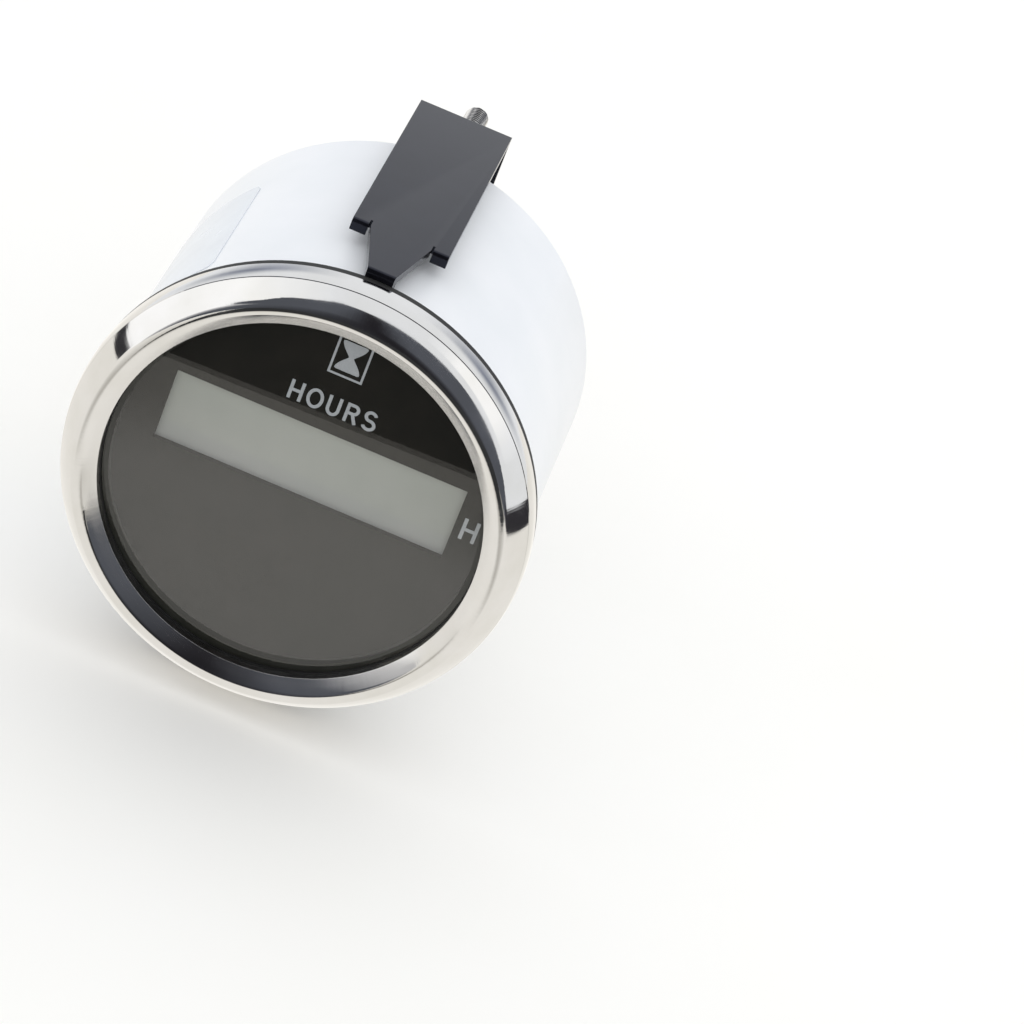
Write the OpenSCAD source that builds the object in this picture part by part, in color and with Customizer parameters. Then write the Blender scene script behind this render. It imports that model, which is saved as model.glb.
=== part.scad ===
// Panel hour meter with a liquid-crystal window, clamped in a round panel hole by a bracket on two studs.
// The dial faces -Y, its top is +Z, and the panel's front face lies in the plane Y = 0.

/* [Barrel] */
// Outside diameter of the barrel, made for a 52 mm panel hole
barrel_d = 51.6; // [51:0.1:53]
// Length from the panel's front face to the rear face
barrel_len = 40.1; // [34:0.1:50]
// Wall round the dial and the board
barrel_wall = 1.4; // [1.2:0.1:1.6]
// Width of the ledge that the board rests on
ledge = 0.8; // [0.6:0.1:1.2]
// Thickness of the rear wall
rear_wall = 2; // [1.6:0.1:3]
// Rounding of the rear edge
rear_round = 1; // [0.5:0.1:1.5]
// Extra radius of the land that centres the gasket
land_rise = 0.4; // [0.3:0.05:0.5]
// Thickness of the front flange that the bezel is rolled over
flange_t = 1.75; // [1.2:0.05:2]
// How far the front flange stands out from the barrel
flange_rise = 0.9; // [0.6:0.1:1]

/* [Bezel] */
// Outside diameter of the bezel
bezel_d = 55.1; // [55:0.1:57]
// Diameter of the bezel's opening
opening_d = 44.9; // [44:0.1:45.6]
// Diameter of the circle along the crest
crest_d = 49.1; // [48.4:0.1:49.4]
// Height of the crest over the gasket
bezel_h = 6.2; // [5.6:0.1:6.6]
// Thickness of the steel sheet
bezel_sheet = 0.5; // [0.4:0.05:0.6]
// Outside radius of the fold at the crest
crest_r = 1.15; // [0.9:0.05:1.4]
// Slope of the face inside the crest, from the dial's plane
inner_slope = 35; // [30:1:40]
// Slope of the face outside the crest, from the dial's plane
outer_slope = 55; // [52:1:58]
// Height of the straight part of the flank over the gasket
flank_h = 1.4; // [1:0.1:1.8]
// Outside radius of the shoulder, between the flank and the crease where the outer slope begins
shoulder_r = 6; // [5:0.1:8]

/* [Glass and seals] */
// Thickness of the panel gasket
gasket_t = 1; // [0.8:0.1:2]
// Outside diameter of the panel gasket
gasket_d = 54.9; // [53.6:0.1:55]
// Thickness of the glass
lens_t = 1.2; // [1:0.1:1.6]
// Diameter of the glass
lens_d = 51.2; // [50.4:0.1:51.6]
// Thickness of the seal between glass and bezel
seal_t = 0.3; // [0.2:0.05:0.5]
// How far the seal shows inside the opening
seal_show = 0.1; // [0.05:0.05:0.2]
// Width of the seal
seal_w = 2.8; // [2:0.1:3]

/* [Dial and display] */
// Thickness of the spacer ring between glass and dial
spacer_t = 1.2; // [0.8:0.1:2]
// Inside diameter of the spacer ring
spacer_d = 43.5; // [42:0.1:44.4]
// Thickness of the dial plate
dial_t = 0.8; // [0.5:0.1:1.2]
// Width of the display window
window_w = 35.5; // [32:0.1:36]
// Height of the display window
window_h = 9.3; // [7:0.1:10]
// Height of the window's centre over the axis
window_z = 3.9; // [2.5:0.1:4.2]
// Sideways distance of the window's centre from the axis
window_x = 0.35; // [-0.5:0.05:0.5]
// How far the display cell laps behind the dial at each end
cell_lap_x = 1.75; // [1:0.05:2]
// How far the display cell laps behind the dial above and below
cell_lap_z = 2.1; // [2:0.05:2.5]
// Thickness of one glass sheet of the cell
cell_sheet = 1.1; // [0.7:0.1:1.2]
// Width of each contact ledge on the front sheet of the cell
contact_w = 1.85; // [1.7:0.05:2]
// Width of a conductive strip
strip_w = 1.5; // [1.2:0.1:1.5]
// Length of a conductive strip
strip_len = 35; // [30:0.5:36]
// Thickness of the backlight panel
backlight_t = 3; // [2:0.1:3.5]
// Height of the backlight panel
backlight_h = 9; // [8:0.1:9.4]
// Depth of the moulding that carries the dial, the cell and the board
carrier_t = 7.25; // [6.5:0.05:9]
// Thickness of the carrier's front plate
carrier_face = 1.4; // [1:0.1:2]
// Thickness of the carrier's walls
carrier_wall = 1.2; // [1:0.1:1.5]

/* [Board] */
// Thickness of the circuit board
board_t = 1.6; // [1:0.1:2]
// Diameter of the circle that the board screws stand on
screw_pcd = 39.6; // [38.6:0.1:40.4]
// Thread diameter of a board screw
screw_d = 2; // [1.6:0.1:2.2]
// Length of a board screw under its head
screw_len = 6; // [4.5:0.1:6.5]
// Head diameter of a board screw
screw_head_d = 3.8; // [3.4:0.1:4.2]
// Head height of a board screw
screw_head_h = 1.5; // [1:0.1:2]
// Side of the microcontroller
micro_w = 10; // [8:0.5:10]
// Pitch of the microcontroller's legs
micro_pitch = 0.8; // [0.5:0.05:1]
// Width of the memory chip
memory_w = 5; // [4:0.5:6]
// Height of the memory chip
memory_h = 4; // [3:0.5:5]
// Pitch of the memory chip's legs
memory_pitch = 1.27; // [1:0.01:1.27]
// Width of the crystal's can
crystal_w = 4.6; // [3:0.1:5]
// Distance between the round ends of the crystal's can
crystal_run = 6.4; // [4:0.1:7]
// Height of the crystal's can
crystal_t = 3.5; // [2.5:0.1:4]
// Distance of the crystal from the edge of the board
crystal_in = 9.2; // [8:0.1:9.5]
// Width of the regulator
regulator_w = 6.5; // [6:0.1:7]
// Height of the regulator
regulator_h = 6; // [5:0.1:6.5]
// Thickness of the regulator
regulator_t = 2.3; // [1.5:0.1:3]
// Distance of the regulator from the edge of the board
regulator_in = 10.7; // [10:0.1:11]
// Side of the backlight lamps along the board
led_w = 3; // [2:0.1:3.5]
// Diameter of the capacitor
cap_d = 8; // [5:0.5:8]
// Height of the capacitor
cap_h = 10; // [8:0.5:14]
// Distance of the capacitor from the edge of the board
capacitor_in = 8.7; // [8:0.1:9]

/* [Rear socket] */
// Distance of the socket's centre from the axis
socket_x = 14; // [13:0.1:14.5]
// Inside width of the socket
socket_w = 9; // [8.6:0.1:9.4]
// Inside height of the socket
socket_h = 13.2; // [12.8:0.1:13.6]
// Wall of the socket
socket_wall = 1; // [0.8:0.1:1.2]
// How far the socket stands out of the rear face
socket_out = 8.9; // [7:0.1:11]
// Thickness of the socket's floor
socket_floor = 4.1; // [3:0.1:5]
// How far the inner flange of the socket stands out
socket_lip = 1.5; // [1:0.1:1.8]
// Thickness of the inner flange of the socket
socket_lip_t = 1.5; // [1:0.1:2]
// Pitch of the pins
pin_pitch = 4.2; // [4:0.05:4.3]
// Side of a square pin
pin_w = 1.07; // [0.8:0.01:1.2]
// Length of a pin over the socket's floor
pin_len = 6; // [5:0.1:6.2]
// Thickness of the riser board between the pins
riser_t = 1.6; // [1:0.1:1.8]
// Width of the riser board
riser_w = 13; // [12:0.1:14]

/* [Studs and nuts] */
// Thread diameter of the studs
stud_d = 3; // [2.5:0.1:4]
// Distance of each stud from the axis
stud_z = 20; // [19:0.1:20.4]
// Length of the studs behind the rear face
stud_out = 25.9; // [20:0.1:32]
// Width across the flats of the stud heads
stud_head_w = 5.5; // [5:0.1:6]
// Height of the stud heads
stud_head_h = 2.1; // [1.6:0.1:2.4]
// Diameter of the bosses that hold the studs
boss_d = 8.4; // [8:0.1:9.5]
// Depth of the bosses under the rear wall
boss_h = 5; // [4:0.1:7]
// Width across the flats of the nuts
nut_w = 5.5; // [5.5:0.1:7]
// Height of the nuts
nut_h = 2.4; // [2:0.1:3.2]
// Outside diameter of the washers
washer_d = 7; // [6.5:0.1:9]
// Thickness of the washers
washer_t = 0.5; // [0.4:0.1:0.8]

/* [Bracket] */
// Thickness of the bracket's steel sheet
strap_t = 1; // [0.8:0.1:1.5]
// Width of the bracket
strap_w = 11.8; // [10.5:0.1:13]
// Gap between the barrel and each leg
leg_gap = 1.7; // [1.5:0.1:3]
// Gap between the rear face and the web
web_gap = 5.3; // [4.5:0.1:8]
// Inside radius of the bends
bend_r = 0.2; // [0.2:0.1:0.6]
// Outside radius of the bends, which are struck sharp
bend_edge_r = 0.5; // [0.3:0.1:0.5]
// Gap between the barrel and the lower edge of each foot
foot_clear = 1; // [0.9:0.1:1.2]
// Width of the tongue at its root
tongue_root_w = 7.4; // [6.5:0.1:7.6]
// Width of the tongue at its tip
tongue_tip_w = 3.3; // [2.5:0.1:5]
// Distance of the ears from the panel
ear_y = 10; // [8:0.1:14]
// Height of the ears
ear_h = 1.5; // [1.5:0.1:1.7]
// Width of each ear
ear_w = 1.95; // [1.2:0.05:2]

/* [Clearances] */
// Gap round pieces that are laid into a pocket or bore
lay_gap = 0.2; // [0.1:0.05:0.3]
// Gap round pieces that are moulded or pressed in
press_gap = 0.05; // [0.02:0.01:0.1]
// Gap round the studs in the bracket and the washers
stud_gap = 0.3; // [0.2:0.05:0.4]
// Gap between the thread of a stud and its nut
thread_gap = 0.05; // [0.03:0.01:0.08]
// Gap between each foot and the gasket
foot_gap = 0.1; // [0.05:0.05:0.3]

/* [Hidden] */
$fn = 96;
// radii from the axis
barrel_r = barrel_d / 2;
land_r = barrel_r + land_rise;
flange_r = barrel_r + flange_rise;
front_bore_r = barrel_r - barrel_wall;
rear_bore_r = front_bore_r - ledge;
stack_r = front_bore_r - lay_gap;
bezel_r = bezel_d / 2;
opening_r = opening_d / 2;
seal_r = opening_r - seal_show;
gasket_bore_r = land_r + press_gap;
screw_r = screw_pcd / 2;
// places along the axis, from the front to the rear
rolled_y = -gasket_t - bezel_sheet;
flange_y = rolled_y - flange_t;
lens_y = flange_y - lens_t;
lip_y = lens_y - seal_t;
crest_y = -gasket_t - bezel_h;
dial_y = flange_y + spacer_t;
carrier_y = dial_y + dial_t;
board_y = carrier_y + carrier_t;
ledge_y = board_y + board_t;
rear_in_y = barrel_len - rear_wall;
boss_y = rear_in_y - boss_h;
floor_y = rear_in_y - socket_floor;
web_y = barrel_len + web_gap;
washer_y = web_y + strap_t;
nut_y = washer_y + washer_t;
// centres of the folds in the bezel's section, and the outward directions of its two slopes
crest_at = [crest_d / 2, crest_y + crest_r];
shoulder_at = [bezel_r - shoulder_r, -gasket_t - flank_h];
slope_out = [sin(outer_slope), -cos(outer_slope)];
slope_in = [-sin(inner_slope), -cos(inner_slope)];
// display cell
cell_w = window_w + 2 * cell_lap_x;
cell_h = window_h + 2 * cell_lap_z;
cell_back_y = carrier_y + 2 * cell_sheet;
pocket_w = cell_w + 2 * lay_gap;
pocket_h = cell_h + 2 * lay_gap;
strip_z = cell_h / 2 - strip_w / 2 - lay_gap / 2;
// board screws stand clear of the display, two above it and two below
screw_angles = [62, 118, 229, 311];
// places of the parts behind the board, in X and Z
micro_x = 3;
micro_z = -2;
memory_x = 3;
memory_z = 10;
crystal_z = -3;
regulator_x = -5;
capacitor_x = 5;
crystal_x = stack_r - crystal_in;
regulator_z = regulator_in - stack_r;
capacitor_z = capacitor_in - stack_r;
// rear socket
socket_out_w = socket_w + 2 * socket_wall;
socket_out_h = socket_h + 2 * socket_wall;
// bracket
bend_out = bend_r + strap_t;
leg_in = barrel_r + leg_gap;
leg_out = leg_in + strap_t;
ear_bend_y = ear_y + bend_out;

// an outline in X and Z, carried along Y from one plane to another
module slab(from, to) {
    translate([0, to, 0])
        rotate([90, 0, 0])
            linear_extrude(to - from)
                children();
}

// a section in radius and Y, turned about the meter's axis
module turned() {
    rotate([-90, 0, 0])
        rotate_extrude()
            children();
}

// a section in Y and Z, carried across X to both sides
module across(width) {
    rotate([90, 0, 90])
        linear_extrude(width, center = true)
            children();
}

module disc(r, from, to) {
    slab(from, to)
        circle(r);
}

module ring(r_out, r_in, from, to) {
    slab(from, to)
        difference() {
            circle(r_out);
            circle(r_in);
        }
}

module box2(w, h, at = [0, 0]) {
    translate(at)
        square([w, h], center = true);
}

// a hexagon with two flats across X
module hexagon(flats) {
    circle(flats / 2 / cos(30), $fn = 6);
}

module at_screws() {
    for (a = screw_angles)
        translate([screw_r * cos(a), 0, screw_r * sin(a)])
            children();
}

module on_board(x, z) {
    translate([x, 0, z])
        children();
}

module at_pins() {
    for (x = [-1, 1], z = [-1, 0, 1])
        translate([-socket_x, 0, z * pin_pitch])
            mirror([x < 0 ? 1 : 0, 0, 0])
                translate([pin_pitch / 2, 0, 0])
                    children();
}

// the wall of the barrel in section, with its flange, gasket land, board ledge and rear wall
module barrel_section() {
    difference() {
        union() {
            translate([0, flange_y])
                square([flange_r, flange_t]);
            translate([0, rolled_y])
                square([land_r, -rolled_y]);
            square([barrel_r, barrel_len - rear_round]);
            square([barrel_r - rear_round, barrel_len]);
            translate([barrel_r - rear_round, barrel_len - rear_round])
                circle(rear_round);
        }
        translate([-1, flange_y - 1])
            square([front_bore_r + 1, ledge_y - flange_y + 1]);
        translate([-1, flange_y])
            square([rear_bore_r + 1, rear_in_y - flange_y]);
    }
}

module socket_outline(grow = 0) {
    box2(socket_out_w + 2 * grow, socket_out_h + 2 * grow, [-socket_x, 0]);
}

module housing() {
    color("white")
        difference() {
            union() {
                turned()
                    barrel_section();
                intersection() {
                    for (z = [-stud_z, stud_z])
                        translate([0, 0, z])
                            disc(boss_d / 2, boss_y, barrel_len - rear_wall / 2);
                    disc(barrel_r - barrel_wall / 2, boss_y, barrel_len);
                }
            }
            for (z = [-stud_z, stud_z])
                translate([0, 0, z]) {
                    disc(stud_d / 2 + press_gap, boss_y - 1, barrel_len + 1);
                    slab(boss_y - 1, boss_y + stud_head_h)
                        hexagon(stud_head_w + 2 * press_gap);
                }
            slab(rear_in_y - 1, barrel_len + 1)
                socket_outline(press_gap);
        }
}

// the outer face of the bezel in section, set back by some depth and cut off at a plane
module bezel_face(depth, cut_y) {
    wall_x = opening_r + depth;
    fold_in = crest_at + (crest_r - depth) * slope_in;
    fold_out = crest_at + (crest_r - depth) * slope_out;
    slope_end = fold_out + bezel_h * [-slope_out.y, slope_out.x];
    wall_top = fold_in.y + (fold_in.x - wall_x) * tan(inner_slope);
    intersection() {
        union() {
            polygon([[wall_x, 0], [wall_x, wall_top], fold_in, fold_out, slope_end, [slope_end.x, 0]]);
            translate(crest_at)
                circle(crest_r - depth);
        }
        union() {
            translate([wall_x, crest_y])
                square([fold_out.x - wall_x, -crest_y]);
            translate(shoulder_at)
                circle(shoulder_r - depth);
            translate([wall_x, shoulder_at.y])
                square([bezel_r - depth - wall_x, -shoulder_at.y]);
        }
        translate([wall_x, crest_y])
            square([bezel_r, cut_y - crest_y]);
    }
}

module bezel() {
    color("silver")
        turned()
            difference() {
                bezel_face(0, -gasket_t);
                bezel_face(bezel_sheet, rolled_y);
                translate([0, lip_y])
                    square([gasket_bore_r, -lip_y]);
            }
}

module panel_gasket() {
    color("dimgray")
        ring(gasket_d / 2, gasket_bore_r, -gasket_t, 0);
}

module lens() {
    color("lightcyan", 0.4)
        disc(lens_d / 2, lens_y, flange_y);
}

module lens_seal() {
    color("black")
        ring(seal_r + seal_w, seal_r, lip_y, lens_y);
}

module spacer_ring() {
    color("black")
        ring(stack_r, spacer_d / 2, flange_y, dial_y);
}

module dial_plate() {
    color("black")
        slab(dial_y, carrier_y)
            difference() {
                circle(stack_r);
                box2(window_w, window_h, [window_x, window_z]);
            }
}

// two sheets of glass, the rear one lower so that contacts show along both long edges of the front one
module lcd_cell() {
    color("darkseagreen") {
        slab(carrier_y, carrier_y + cell_sheet)
            box2(cell_w, cell_h, [0, window_z]);
        slab(carrier_y + cell_sheet, cell_back_y)
            box2(cell_w, cell_h - 2 * contact_w, [0, window_z]);
    }
}

// a shallow cup with a walled pocket for the cell and a boss for each screw
module lcd_carrier() {
    color("whitesmoke")
        difference() {
            union() {
                ring(stack_r, stack_r - carrier_wall, carrier_y, board_y);
                disc(stack_r - carrier_wall / 2, carrier_y, carrier_y + carrier_face);
                slab(carrier_y, board_y)
                    box2(pocket_w + 2 * carrier_wall, pocket_h + 2 * carrier_wall, [0, window_z]);
                at_screws()
                    disc(screw_d, carrier_y, board_y);
            }
            slab(carrier_y - 1, board_y + 1)
                box2(pocket_w, pocket_h, [0, window_z]);
            at_screws()
                disc(screw_d / 2 + press_gap, ledge_y - screw_len - lay_gap, board_y + 1);
        }
}

module backlight_panel() {
    foot_w = 2;
    color("white") {
        slab(cell_back_y, cell_back_y + backlight_t)
            box2(strip_len, backlight_h, [0, window_z]);
        for (x = [-1, 1])
            slab(cell_back_y + backlight_t, board_y)
                box2(foot_w, backlight_h / 2, [x * (strip_len - foot_w) / 2, window_z]);
    }
}

module backlight_leds() {
    led_h = 0.9;
    led_d = 1.5;
    color("ivory")
        for (x = [-1, 0, 1])
            slab(board_y - led_h, board_y)
                box2(led_w, led_d, [x * strip_len / 4, window_z]);
}

module zebra_strip(side) {
    color("dimgray")
        slab(carrier_y + cell_sheet, board_y)
            box2(strip_len, strip_w, [0, window_z + side * strip_z]);
}

module circuit_board() {
    color("darkgreen")
        difference() {
            disc(stack_r, board_y, ledge_y);
            at_screws()
                disc(screw_d / 2 + press_gap, board_y - 1, ledge_y + 1);
        }
}

module board_screws() {
    color("silver")
        at_screws() {
            disc(screw_head_d / 2, ledge_y, ledge_y + screw_head_h);
            disc(screw_d / 2, ledge_y - screw_len, ledge_y);
        }
}

// a flat package with a row of legs on each of some sides
module chip(w, h, pitch, legs, sides) {
    body_t = 1.4;
    foot_len = 1;
    leg_t = 0.2;
    lift = 0.1;
    slab(ledge_y + lift, ledge_y + lift + body_t)
        box2(w, h);
    for (s = sides)
        rotate([0, s, 0])
            for (k = [0 : legs - 1])
                translate([(k - (legs - 1) / 2) * pitch, 0, 0]) {
                    reach = s % 180 == 0 ? h / 2 : w / 2;
                    slab(ledge_y, ledge_y + leg_t)
                        box2(pitch / 2, foot_len, [0, reach + foot_len / 2]);
                    slab(ledge_y, ledge_y + lift + body_t / 2)
                        box2(pitch / 2, leg_t, [0, reach + leg_t / 2]);
                }
}

module microcontroller() {
    micro_legs = 8;
    color("black")
        on_board(micro_x, micro_z)
            chip(micro_w, micro_w, micro_pitch, micro_legs, [0, 90, 180, 270]);
}

module memory_chip() {
    memory_legs = 4;
    color("black")
        on_board(memory_x, memory_z)
            chip(memory_w, memory_h, memory_pitch, memory_legs, [0, 180]);
}

// a flat metal can with round ends
module crystal() {
    color("silver")
        on_board(crystal_x, crystal_z)
            slab(ledge_y, ledge_y + crystal_t) {
                box2(crystal_w, crystal_run);
                for (z = [-1, 1])
                    translate([0, z * crystal_run / 2])
                        circle(crystal_w / 2);
            }
}

// a power package on its metal tab, with two legs
module regulator() {
    tab_in = 0.5;
    tab_h = 1.2;
    tab_t = 0.5;
    leg_w = 0.8;
    leg_len = 2.6;
    leg_inset = 0.95;
    color("black")
        on_board(regulator_x, regulator_z) {
            slab(ledge_y, ledge_y + regulator_t)
                box2(regulator_w, regulator_h);
            slab(ledge_y, ledge_y + tab_t) {
                box2(regulator_w - 2 * tab_in, tab_h, [0, (regulator_h + tab_h) / 2]);
                for (x = [-1, 1])
                    box2(leg_w, leg_len, [x * (regulator_w / 2 - leg_inset), -(regulator_h + leg_len) / 2]);
            }
        }
}

module capacitor() {
    groove = 0.3;
    groove_at = 1.5;
    color("steelblue")
        on_board(capacitor_x, capacitor_z)
            difference() {
                disc(cap_d / 2, ledge_y, ledge_y + cap_h);
                ring(cap_d, cap_d / 2 - groove, ledge_y + groove_at, ledge_y + groove_at + 2 * groove);
            }
}

module riser_board() {
    color("darkgreen")
        slab(ledge_y, floor_y)
            box2(riser_t, riser_w, [-socket_x, 0]);
}

// an open shroud with a flange that stops behind the rear wall and a ramp for the plug's latch
module header_shell() {
    mouth_y = barrel_len + socket_out;
    ramp_w = 4;
    ramp_h = 1;
    ramp_at = 3;
    color("ivory") {
        difference() {
            union() {
                slab(floor_y, mouth_y)
                    socket_outline();
                slab(rear_in_y - socket_lip_t, rear_in_y)
                    socket_outline(socket_lip);
            }
            slab(rear_in_y, mouth_y + 1)
                box2(socket_w, socket_h, [-socket_x, 0]);
            at_pins()
                slab(floor_y - 1, rear_in_y + 1)
                    box2(pin_w + 2 * press_gap, pin_w + 2 * press_gap);
        }
        translate([-socket_x - socket_out_w / 2, 0, 0])
            rotate([0, 0, 90])
                linear_extrude(ramp_w, center = true)
                    polygon([[barrel_len + ramp_at, -socket_wall / 2], [barrel_len + ramp_at, ramp_h],
                        [mouth_y, 0], [mouth_y, -socket_wall / 2]]);
    }
}

// straight blades in the socket, set in to meet both faces of the riser board
module header_pins() {
    tail_len = 5;
    tail_t = 0.6;
    out = pin_pitch / 2 - riser_t / 2;
    knee_y = floor_y - tail_t;
    color("gold")
        at_pins() {
            slab(knee_y, rear_in_y + pin_len)
                box2(pin_w, pin_w);
            slab(knee_y - tail_t, knee_y)
                box2(out + pin_w / 2, pin_w, [(pin_w / 2 - out) / 2, 0]);
            slab(knee_y - tail_len, knee_y - tail_t)
                box2(tail_t, pin_w, [tail_t / 2 - out, 0]);
        }
}

// a hexagon-headed screw moulded into its boss, with a chamfered end
module stud(side) {
    end_y = barrel_len + stud_out;
    chamfer = 0.4;
    color("lightgray")
        translate([0, 0, side * stud_z]) {
            slab(boss_y, boss_y + stud_head_h)
                hexagon(stud_head_w);
            turned()
                polygon([[0, boss_y + stud_head_h / 2], [stud_d / 2, boss_y + stud_head_h / 2],
                    [stud_d / 2, end_y - chamfer], [stud_d / 2 - chamfer, end_y], [0, end_y]]);
        }
}

module washer(side) {
    color("silver")
        translate([0, 0, side * stud_z])
            ring(washer_d / 2, stud_d / 2 + stud_gap, washer_y, nut_y);
}

// a hexagon with its corners turned off at both ends
module nut(side) {
    corner_r = nut_w / 2 / cos(30);
    turn = corner_r - nut_w / 2;
    color("silver")
        translate([0, 0, side * stud_z])
            difference() {
                intersection() {
                    slab(nut_y, nut_y + nut_h)
                        hexagon(nut_w);
                    turned()
                        polygon([[0, nut_y], [nut_w / 2, nut_y], [corner_r + turn, nut_y + turn],
                            [corner_r + turn, nut_y + nut_h - turn], [nut_w / 2, nut_y + nut_h],
                            [0, nut_y + nut_h]]);
                }
                disc(stud_d / 2 + thread_gap, nut_y - 1, nut_y + nut_h + 1);
            }
}

// a bend of the sheet in section, from a centre on its inside towards the given directions
module bend(at, y_way, z_way) {
    edge = bend_out - bend_edge_r;
    translate(at)
        difference() {
            union() {
                scale([y_way, z_way]) {
                    square([bend_out, edge]);
                    square([edge, bend_out]);
                }
                translate([y_way * edge, z_way * edge])
                    circle(bend_edge_r);
            }
            circle(bend_r);
        }
}

// the upper half of the strip in section: foot, leg and half the web
module strip_section() {
    turn_z = leg_out - bend_out;
    back_y = web_y + strap_t - bend_out;
    translate([foot_gap + bend_out, leg_in])
        square([back_y - foot_gap - bend_out, strap_t]);
    bend([back_y, turn_z], 1, 1);
    translate([web_y, 0])
        square([strap_t, turn_z]);
    bend([foot_gap + bend_out, turn_z], -1, 1);
    translate([foot_gap, barrel_r + foot_clear])
        square([strap_t, turn_z - barrel_r - foot_clear]);
}

// an ear in section, bent down from the front edge of the leg
module ear_section() {
    turn_z = leg_out - bend_out;
    bend([ear_bend_y, turn_z], -1, 1);
    translate([ear_y, leg_out - ear_h])
        square([strap_t, turn_z - leg_out + ear_h]);
}

// the leg seen from above: full width behind the ears, a tapered tongue in front of them
module leg_plan() {
    polygon([[-tongue_tip_w / 2, foot_gap], [-tongue_root_w / 2, ear_y], [-tongue_root_w / 2, ear_bend_y],
        [-strap_w / 2, ear_bend_y], [-strap_w / 2, web_y + 2 * strap_t], [strap_w / 2, web_y + 2 * strap_t],
        [strap_w / 2, ear_bend_y], [tongue_root_w / 2, ear_bend_y], [tongue_root_w / 2, ear_y],
        [tongue_tip_w / 2, foot_gap]]);
}

module bracket_half() {
    difference() {
        intersection() {
            across(strap_w)
                strip_section();
            linear_extrude(leg_out)
                leg_plan();
        }
        translate([0, 0, stud_z])
            disc(stud_d / 2 + stud_gap, web_y - 1, washer_y + 1);
    }
    for (x = [-1, 1])
        translate([x * (strap_w - ear_w) / 2, 0, 0])
            across(ear_w)
                ear_section();
}

module mounting_bracket() {
    color("black") {
        bracket_half();
        mirror([0, 0, 1])
            bracket_half();
    }
}

housing();
bezel();
panel_gasket();
lens();
lens_seal();
spacer_ring();
dial_plate();
lcd_cell();
lcd_carrier();
backlight_panel();
backlight_leds();
zebra_strip(1);  // zebra_strip_upper
zebra_strip(-1);  // zebra_strip_lower
circuit_board();
board_screws();
microcontroller();
memory_chip();
crystal();
regulator();
capacitor();
riser_board();
header_shell();
header_pins();
stud(1);  // stud_upper
stud(-1);  // stud_lower
mounting_bracket();
washer(1);  // washer_upper
washer(-1);  // washer_lower
nut(1);  // nut_upper
nut(-1);  // nut_lower
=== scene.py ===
from math import radians

import bmesh
import bpy
import numpy as np
from mathutils import Matrix


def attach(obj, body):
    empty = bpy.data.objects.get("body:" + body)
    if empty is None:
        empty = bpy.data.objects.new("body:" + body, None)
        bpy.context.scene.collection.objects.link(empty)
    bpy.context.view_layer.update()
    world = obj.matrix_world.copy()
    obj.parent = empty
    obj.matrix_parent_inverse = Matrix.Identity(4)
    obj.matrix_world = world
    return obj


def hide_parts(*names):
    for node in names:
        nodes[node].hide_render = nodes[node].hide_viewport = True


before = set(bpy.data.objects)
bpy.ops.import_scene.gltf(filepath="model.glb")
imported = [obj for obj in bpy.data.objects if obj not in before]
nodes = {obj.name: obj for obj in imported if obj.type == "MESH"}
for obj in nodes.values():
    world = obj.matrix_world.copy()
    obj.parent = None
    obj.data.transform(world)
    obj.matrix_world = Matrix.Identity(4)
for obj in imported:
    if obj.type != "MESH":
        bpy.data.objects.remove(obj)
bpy.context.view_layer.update()        # the imported nodes' places brought up to date
mm = 0.001
print("frame loaded with", len(nodes), "nodes")


def linear(code):
    # sRGB hex to linear light: a straight foot near black, then a power of 2.4
    c = np.array([int(code[k:k + 2], 16) for k in (1, 3, 5)]) / 255
    return (*np.where(c > 0.04045, ((c + 0.055) / 1.055) ** 2.4, c / 12.92).tolist(), 1.0)


def addNode(tree, kind, inputs=None, stops=None, **settings):
    # one node: its settings, its socket values or links, and its colour stops if it is a ramp
    node = tree.nodes.new(kind)
    for key, value in settings.items():
        setattr(node, key, value)
    for key, value in (inputs or {}).items():
        if isinstance(value, bpy.types.NodeSocket):
            tree.links.new(value, node.inputs[key])
        else:
            node.inputs[key].default_value = value
    for k, (place, colour) in enumerate(stops or []):
        stop = node.color_ramp.elements[k] if k < 2 else node.color_ramp.elements.new(place)
        stop.position = place
        stop.color = colour
    return node


def newFinish(name, **values):
    # an empty material with its shader; gives the tree, the shader and the place in metres to build on
    finish = bpy.data.materials.new(name)
    finish.use_nodes = True
    tree = finish.node_tree
    tree.nodes.clear()
    shader = addNode(tree, "ShaderNodeBsdfPrincipled", {k.replace("_", " "): v for k, v in values.items()})
    addNode(tree, "ShaderNodeOutputMaterial", {"Surface": shader.outputs[0]})
    place = addNode(tree, "ShaderNodeTexCoord").outputs["Object"]
    return finish, tree, shader, place


def gridMesh(name, points, aroundRows=False, aroundCols=False, weld=1e-7):
    # a grid of points in mm, rows by columns, joined by quads; either way may close on itself
    rows, cols = points.shape[:2]
    ids = np.arange(rows * cols).reshape(rows, cols)
    if aroundRows:
        ids = np.vstack([ids, ids[:1]])
    if aroundCols:
        ids = np.hstack([ids, ids[:, :1]])
    quads = np.stack([ids[:-1, :-1], ids[:-1, 1:], ids[1:, 1:], ids[1:, :-1]], -1).reshape(-1, 4)
    mesh = bpy.data.meshes.new(name)
    mesh.from_pydata(points.reshape(-1, 3) * mm, [], quads.tolist())
    work = bmesh.new()
    work.from_mesh(mesh)
    bmesh.ops.remove_doubles(work, verts=work.verts, dist=weld)
    bmesh.ops.recalc_face_normals(work, faces=work.faces)
    work.to_mesh(mesh)
    work.free()
    return mesh


def joinedMesh(name, meshes):
    # several closed meshes as one
    work = bmesh.new()
    for mesh in meshes:
        work.from_mesh(mesh)
        bpy.data.meshes.remove(mesh)
    joined = bpy.data.meshes.new(name)
    work.to_mesh(joined)
    work.free()
    return joined


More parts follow.
